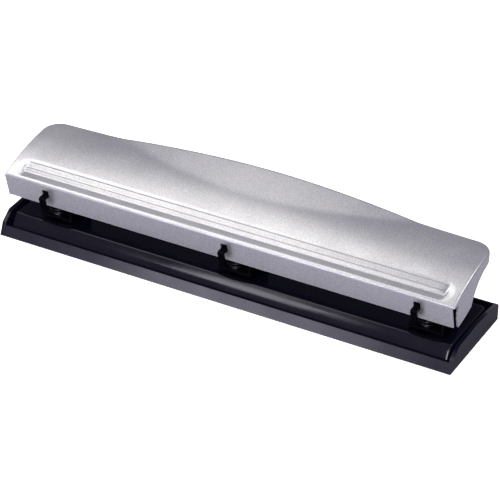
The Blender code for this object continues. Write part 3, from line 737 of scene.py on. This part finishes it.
def slot_outline(side):
    """The upright opening in the skirt that a bracket's tongue comes through."""
    bracket_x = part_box(f"punch_bracket_{side}")[0].x / MM
    low_x, high_x = (bracket_x + x for x in SLOT_X)
    low_x, high_x = low_x + SLOT_CORNER, high_x - SLOT_CORNER
    low_z, high_z = SLOT_Z[0] + SLOT_CORNER, SLOT_Z[1] - SLOT_CORNER
    corners = ((high_x, low_z, -90), (high_x, high_z, 0), (low_x, high_z, 90), (low_x, low_z, 180))
    points = []
    for x, z, start in corners:
        for k in range(4):
            angle = math.radians(start + 30 * k)
            across, up = SLOT_CORNER * math.cos(angle), SLOT_CORNER * math.sin(angle)
            points.append(((x + across) * MM, (z + up) * MM))
    return points


def corner_outline():
    """The skirt stops short of the right end wall."""
    low_x, high_x = SKIRT_END * MM, (COVER_HALF + WINDOW_MARGIN) * MM
    low_z, high_z = (SKIRT_BOTTOM[1] - WINDOW_DROP) * MM, SEAM_TOP * MM
    return [(low_x, low_z), (high_x, low_z), (high_x, high_z), (low_x, high_z)]


def seam_outline(start):
    """The open slit from start to SEAM_END behind the skirt's face, tilted like the skirt."""
    lean = (SKIRT_BOTTOM[0] - COVER_FRONT[0]) / (COVER_FRONT[1] - SKIRT_BOTTOM[1])
    bottom = (SKIRT_BOTTOM[1] - WINDOW_DROP, (start, SEAM_END))
    top = (SEAM_TOP, (SEAM_END - SEAM_TAPER, start))
    points = []
    for z, offsets in (bottom, top):
        skirt_y = COVER_FRONT[0] + lean * (COVER_FRONT[1] - z)
        points += [((skirt_y + offset + FRONT_Y) * MM, z * MM) for offset in offsets]
    return points


# ---------------------------------------------------------------- base


def frame_piece():
    """The pressed base: deck, sloped front and rounded corners."""
    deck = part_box("base_frame")[1]
    deck_z, half = deck.z / MM, deck.x / MM
    foot_y, top_y = FRAME_FRONT
    rear_y = FRAME_REAR - FRAME_BEND
    x_edge = half - FRAME_BEND
    last_row, last_column = FRAME_GRID
    rows = [-x_edge + 2 * x_edge * k / last_row for k in range(last_row + 1)]
    ys = [top_y + (rear_y - top_y) * k / last_column for k in range(last_column + 1)]
    grid = [[at(x, y, deck_z) for y in ys] for x in rows]
    slope = Vector((0, -(deck_z - FRAME_FOOT_Z), top_y - foot_y - SLOPE_EASE)).normalized()
    straight = half - FRAME_CORNER
    loop = []
    for i, x in enumerate(rows):
        loop.append((i, 0, slope, 1, at(x * straight / x_edge, foot_y, FRAME_FOOT_Z)))

    def fan(side):
        """Stations round a front corner."""
        stations = []
        for share in [k / FRAME_FAN_COUNT for k in range(1, FRAME_FAN_COUNT)]:
            wall = slope.slerp(Vector((side, 0, 0)), share)
            angle = math.pi / 2 * share
            x = side * (straight + FRAME_CORNER * math.sin(angle))
            y = foot_y + FRAME_CORNER * (1 - math.cos(angle))
            stations.append((last_row if side > 0 else 0, 0, wall, 1, at(x, y, FRAME_FOOT_Z)))
        return stations

    def side_station(side, j):
        """A station on an end wall, whose foot spreads forward to the corner."""
        share = max(0.0, 1 - (ys[j] - top_y) / FRAME_SHEAR)
        foot = at(side * half, ys[j] - (top_y - foot_y - FRAME_CORNER) * share, FRAME_FOOT_Z)
        return last_row if side > 0 else 0, j, Vector((side, 0, 0)), 1, foot

    back = Vector((0, 1, 0))
    loop += fan(1)
    loop += [side_station(1, j) for j in range(last_column + 1)]
    for i in range(last_row, -1, -1):
        loop.append((i, last_column, back, 1, at(rows[i], rear_y + FRAME_BEND, FRAME_FOOT_Z)))
    loop += [side_station(-1, j) for j in range(last_column, -1, -1)]
    loop += list(reversed(fan(-1)))
    sheet = rolled_sheet("frame_sheet", grid, loop, FRAME_BEND * MM, (), 6, 10, bulge=SLOPE_BULGE)
    mesh = cut(sheet, [pin_hole(side, deck.z) for side in HEADS])
    layers = ["black_paint", "rubbed_edge_glints"]
    return finish_piece("base_frame_shell", mesh, layers, "base", "base_frame", 30)


def pin_hole(side, deck_z):
    """A drill through the deck under a punch pin."""
    centre = box_centre(f"punch_pin_{side}")
    bm = bmesh.new()
    bmesh.ops.create_cone(
        bm,
        cap_ends=True,
        segments=40,
        radius1=PIN_HOLE * MM,
        radius2=PIN_HOLE * MM,
        depth=4 * MM,
        matrix=Matrix.Translation((centre.x, centre.y, deck_z)),
    )
    return closed_mesh(bm, "hole")


# ---------------------------------------------------------------- heads


def spring_piece(side):
    """The return spring: a swept wire."""
    node = f"return_spring_{side}"
    low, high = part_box(node)
    axis = Vector((box_centre(node).x, box_centre(f"punch_pin_{side}").y, 0))
    bottom, top = low.z / MM + WIRE, high.z / MM - WIRE
    per_turn, around = 40, 14
    count = round(COIL_TURNS * per_turn)
    bm = bmesh.new()
    rings = []
    for k in range(count + 1):
        share = k / count
        angle = 2 * math.pi * COIL_TURNS * share
        eased = mix(share, smooth(0.0, 1.0, share), COIL_EASE)
        out = Vector((math.cos(angle), math.sin(angle), 0))
        spine = axis + out * COIL * MM + Vector((0, 0, mix(bottom, top, eased) * MM))
        ring = []
        for a in range(around):
            turn = 2 * math.pi * a / around
            offset = out * math.cos(turn) + Vector((0, 0, math.sin(turn)))
            ring.append(bm.verts.new(spine + offset * WIRE * MM))
        rings.append(ring)
    for ring, after in zip(rings, rings[1:]):
        for a in range(around):
            b = (a + 1) % around
            bm.faces.new((ring[a], ring[b], after[b], after[a]))
    bm.faces.new(rings[0])
    bm.faces.new(rings[-1])
    name = f"return_spring_coil_{side}"
    piece = finish_piece(name, closed_mesh(bm, node), ["spring_steel"], "base", node)
    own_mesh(piece)
    return piece


def turned_piece(name, profile, steps, material, body, node):
    """A turned part that stands on its CAD node's axis."""
    mesh = turned(profile, steps)
    mesh.transform(Matrix.Translation((box_centre(node).x, box_centre(node).y, 0)))
    return finish_piece(name, mesh, [material], body, node)


def pin_piece(side):
    node = f"punch_pin_{side}"
    low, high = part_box(node)
    tip = low.z / MM
    centre_z = high.z / MM - PIN_DOME
    profile = []
    for k in range(13):
        angle = math.radians(5 * k)
        profile.append((PIN_DOME * math.sin(angle), centre_z + PIN_DOME * math.cos(angle)))
    profile += [
        (3.9, 33.75),
        (3.88, 33.4),
        (PIN_SHAFT, 33.4),
        (PIN_SHAFT, 28.4),
        (2.7, 28.4),
        (2.7, 27.2),
        (PIN_SHAFT, 27.2),
        (PIN_SHAFT, tip + 0.15),
        (PIN_SHAFT - 0.12, tip),
        (2.6, tip + 0.35),
        (0.0, tip + 1.0),
    ]
    return turned_piece(f"punch_pin_turned_{side}", profile, 56, "hard_steel", f"punch_{side}", node)


def rivet_piece(node):
    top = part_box(node)[1].z / MM
    profile = [
        (0.0, top),
        (0.7, top - 0.03),
        (1.4, top - 0.18),
        (2.0, top - 0.5),
        (2.4, top - 0.9),
        (2.55, top - 1.15),
        (2.5, top - 1.2),
        (1.4, top - 1.2),
        (1.4, 9.8),
        (2.2, 9.8),
        (2.3, 9.5),
        (2.2, 8.95),
        (1.9, 8.8),
        (0.0, 8.8),
    ]
    return turned_piece(f"{node}_turned", profile, 40, "zinc_steel", "base", node)


def foot_piece(node):
    radius, height = 6.0, 0.9
    profile = [
        (0.0, height),
        (radius - 0.1, height),
        (radius, height - 0.1),
        (radius, 0.25),
        (radius - 0.08, 0.1),
        (radius - 0.25, 0.0),
        (radius - 1.2, 0.0),
        (radius - 1.5, 0.2),
        (0.0, 0.2),
    ]
    return turned_piece(f"{node}_pad", profile, 48, "rubber", "tray", node)


def hinge_pin_piece(end, side):
    """A headed pin that lies along x, its head towards the middle."""
    node = f"tray_hinge_pin_{end}"
    low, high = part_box(node)
    length = (high.x - low.x) / MM
    profile = [
        (0.0, length),
        (0.65, length),
        (0.85, length - 0.15),
        (0.9, length - 0.3),
        (0.9, 0.8),
        (1.6, 0.8),
        (1.7, 0.7),
        (1.7, 0.15),
        (1.55, 0.0),
        (0.0, 0.0),
    ]
    mesh = turned(profile, 32)
    start = low.x if side > 0 else high.x
    centre = box_centre(node)
    turn = Matrix.Rotation(side * math.pi / 2, 4, "Y")
    mesh.transform(Matrix.Translation((start, centre.y, centre.z)) @ turn)
    return finish_piece(f"{node}_turned", mesh, ["black_steel"], "base", node)


# ---------------------------------------------------------------- stage


def add_light(name, place, target, size, power, colour):
    data = bpy.data.lights.new(name, "AREA")
    data.shape = "RECTANGLE"
    data.size, data.size_y = size
    data.energy = power
    data.color = colour
    obj = bpy.data.objects.new(name, data)
    bpy.context.scene.collection.objects.link(obj)
    obj.location = place
    obj.rotation_euler = (Vector(target) - Vector(place)).to_track_quat("-Z", "Y").to_euler()


def build_floor():
    """A pale floor that the camera sees almost white and reflections see dimmer."""
    bm = bmesh.new()
    bmesh.ops.create_grid(bm, x_segments=1, y_segments=1, size=4.0)
    mesh = mesh_of(bm, "floor")
    material = bpy.data.materials.new("floor_white")
    material.use_nodes = True
    nodes, links = material.node_tree.nodes, material.node_tree.links
    surface = nodes["Principled BSDF"]
    surface.inputs["Roughness"].default_value = 0.9
    surface.inputs["Emission Strength"].default_value = 1.0
    path = nodes.new("ShaderNodeLightPath").outputs["Is Camera Ray"]
    for name, (other, seen) in (("Base Color", FLOOR_COLOUR), ("Emission Color", FLOOR_GLOW)):
        choose = nodes.new("ShaderNodeMix")
        choose.data_type = "RGBA"
        choose.inputs[6].default_value = (*other, 1.0)
        choose.inputs[7].default_value = (*seen, 1.0)
        links.new(path, choose.inputs[0])
        links.new(choose.outputs[2], surface.inputs[name])
    mesh.materials.append(material)
    floor = bpy.data.objects.new("floor", mesh)
    bpy.context.scene.collection.objects.link(floor)


def build_world():
    """Pale to the camera; dim cool grey to reflections, so that the softboxes shape the metal."""
    world = bpy.data.worlds.new("studio")
    bpy.context.scene.world = world
    world.use_nodes = True
    nodes, links = world.node_tree.nodes, world.node_tree.links
    background = nodes["Background"]
    direction = nodes.new("ShaderNodeTexCoord").outputs["Generated"]
    split = nodes.new("ShaderNodeSeparateXYZ")
    links.new(direction, split.inputs["Vector"])
    ramp = nodes.new("ShaderNodeValToRGB")
    ramp.color_ramp.elements[0].color = (*WORLD_LOW, 1)
    ramp.color_ramp.elements[1].color = (*WORLD_HIGH, 1)
    links.new(split.outputs["Z"], ramp.inputs["Fac"])
    choose = nodes.new("ShaderNodeMix")
    choose.data_type = "RGBA"
    choose.inputs[7].default_value = (1, 1, 1, 1)
    links.new(nodes.new("ShaderNodeLightPath").outputs["Is Camera Ray"], choose.inputs[0])
    links.new(ramp.outputs["Color"], choose.inputs[6])
    links.new(choose.outputs[2], background.inputs["Color"])
    background.inputs["Strength"].default_value = WORLD_STRENGTH


def build_camera():
    azimuth, elevation = math.radians(CAMERA_AZIMUTH), math.radians(CAMERA_ELEVATION)
    level = math.cos(elevation)
    back = Vector((math.sin(azimuth) * level, -math.cos(azimuth) * level, math.sin(elevation)))
    data = bpy.data.cameras.new("camera")
    data.lens = CAMERA_LENS
    data.sensor_width = 36.0
    camera = bpy.data.objects.new("camera", data)
    bpy.context.scene.collection.objects.link(camera)
    camera.location = at(*CAMERA_TARGET) + back * CAMERA_DISTANCE
    camera.rotation_euler = (-back).to_track_quat("-Z", "Y").to_euler()
    bpy.context.scene.camera = camera


# ---------------------------------------------------------------- assembly

cover_piece()
frame_piece()
softened("chip_tray", "chip_tray_moulding", "black_plastic", "tray", 0.5)
softened("pressure_bar", "pressure_bar_plate", "zinc_steel", "lever", 0.3)
for head in HEADS:
    bracket = f"punch_bracket_plate_{head}"
    clip = f"retaining_clip_ring_{head}"
    softened(f"punch_bracket_{head}", bracket, "black_steel", "base", 0.15, 2)
    softened(f"die_plate_{head}", f"die_plate_ground_{head}", "black_steel", "base", 0.14, 2)
    softened(f"retaining_clip_{head}", clip, "spring_steel", f"punch_{head}", 0.08, 2)
    spring_piece(head)
    pin_piece(head)
    for number in (1, 2):
        rivet_piece(f"rivet_{head}_{number}")
for row in ("front", "rear"):
    for end in ("left", "right"):
        foot_piece(f"foot_{row}_{end}")
for end, side in (("left", -1), ("right", 1)):
    hinge_pin_piece(end, side)

build_floor()
build_world()
for light in LIGHTS:
    add_light(*light)
build_camera()
bpy.context.scene.view_settings.view_transform = "Standard"
